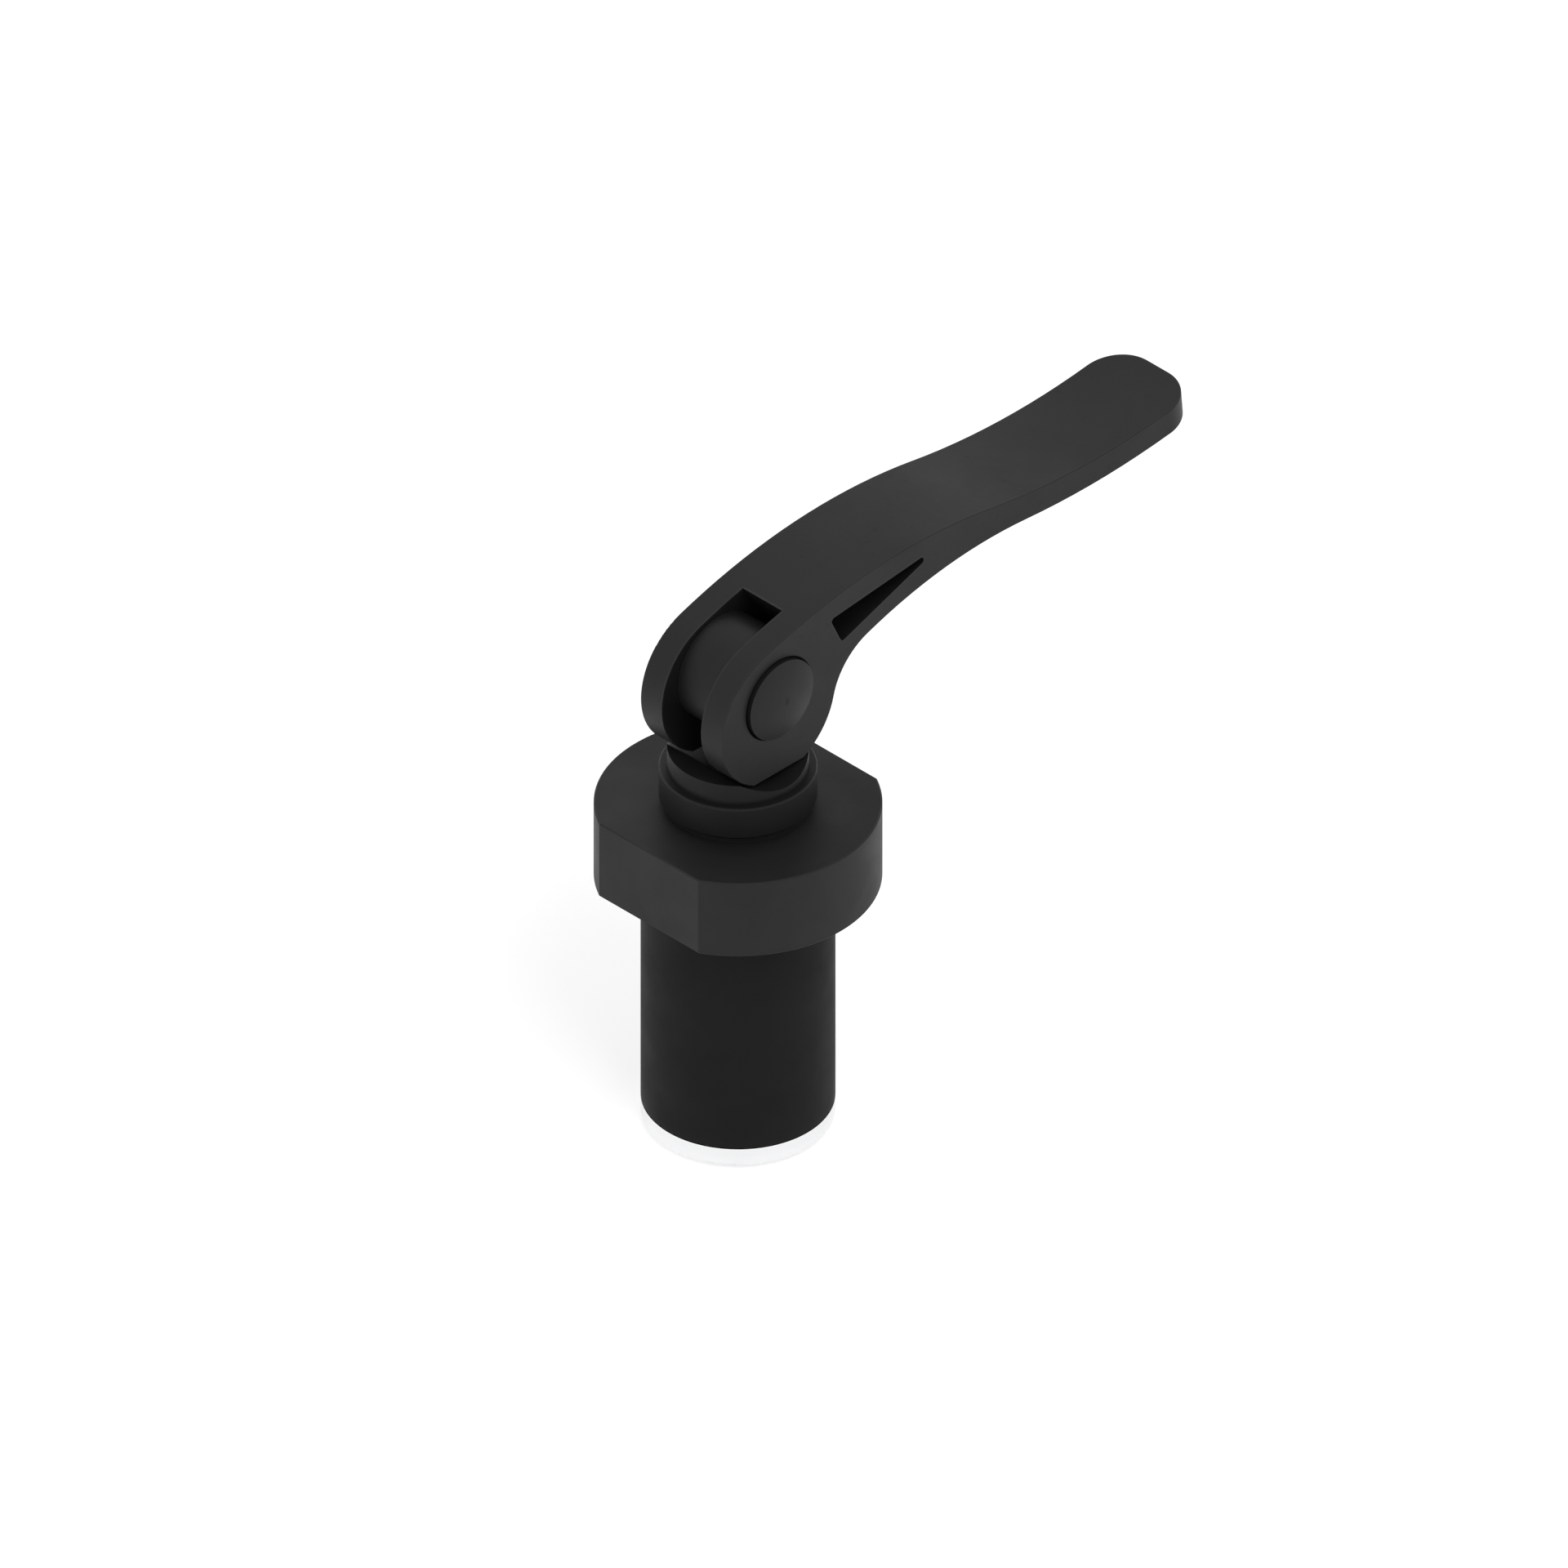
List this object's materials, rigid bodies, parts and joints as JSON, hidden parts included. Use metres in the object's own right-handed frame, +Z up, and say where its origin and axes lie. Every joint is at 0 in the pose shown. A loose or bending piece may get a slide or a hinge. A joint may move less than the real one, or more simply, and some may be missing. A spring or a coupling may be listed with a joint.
{
  "type": "cam lever",
  "caption": "Forked cam lever on an expanding clamp: laying the handle down lifts a rod and disc, which squeezes a rubber sleeve under a flange so that it grips a bore.",
  "frame": {"origin": "on the tie rod's axis, at the flange's underside, which seats on the work", "axes": "+Z up the rod to the lever, +X along the closed handle, Y along the cross pin"},
  "size_m": [0.1, 0.04, 0.0865],
  "materials": {
    "lever_coat": "fine satin black powder coat",
    "black_oxide_steel": "black oxide on turned and milled steel",
    "black_polymer": "moulded, satin",
    "black_rubber": "moulded, dull",
    "bright_steel": "bright zinc, turned"
  },
  "bodies": {
    "base": {"flange": "black_oxide_steel", "slide_washer": "black_polymer", "elastomer_sleeve": "black_rubber"},
    "rod": {"tie_rod": "black_oxide_steel", "pressure_disc": "bright_steel"},
    "pivot": {"pivot_pin": "black_oxide_steel", "barrel_collar": "black_oxide_steel"},
    "lever": {"lever": "lever_coat"},
    "saddle": {"saddle_cap": "black_polymer", "thrust_ring": "black_oxide_steel"}
  },
  "joints": [
    {"name": "rod_slide", "type": "slide", "parent": "base", "child": "rod", "axis": [0, 0, 1], "range_m": [-0.00075, 0], "deforming": ["elastomer_sleeve"]},
    {"name": "lever_swivel", "type": "hinge", "parent": "rod", "child": "pivot", "pos_m": [0, 0, 0.03375], "axis": [0, 0, 1], "continuous": true},
    {"name": "lever_hinge", "type": "hinge", "parent": "pivot", "child": "lever", "pos_m": [0, 0, 0.03375], "axis": [0, -1, 0], "range_deg": [0, 110]},
    {"name": "saddle_swivel", "type": "hinge", "parent": "base", "child": "saddle", "pos_m": [0, 0, 0.0134], "axis": [0, 0, 1], "continuous": true}
  ],
  "couplings": [
    {"joint": "rod_slide", "follows": "lever_hinge", "m_per_rad": -0.000382},
    {"joint": "saddle_swivel", "follows": "lever_swivel", "ratio": 1}
  ]
}
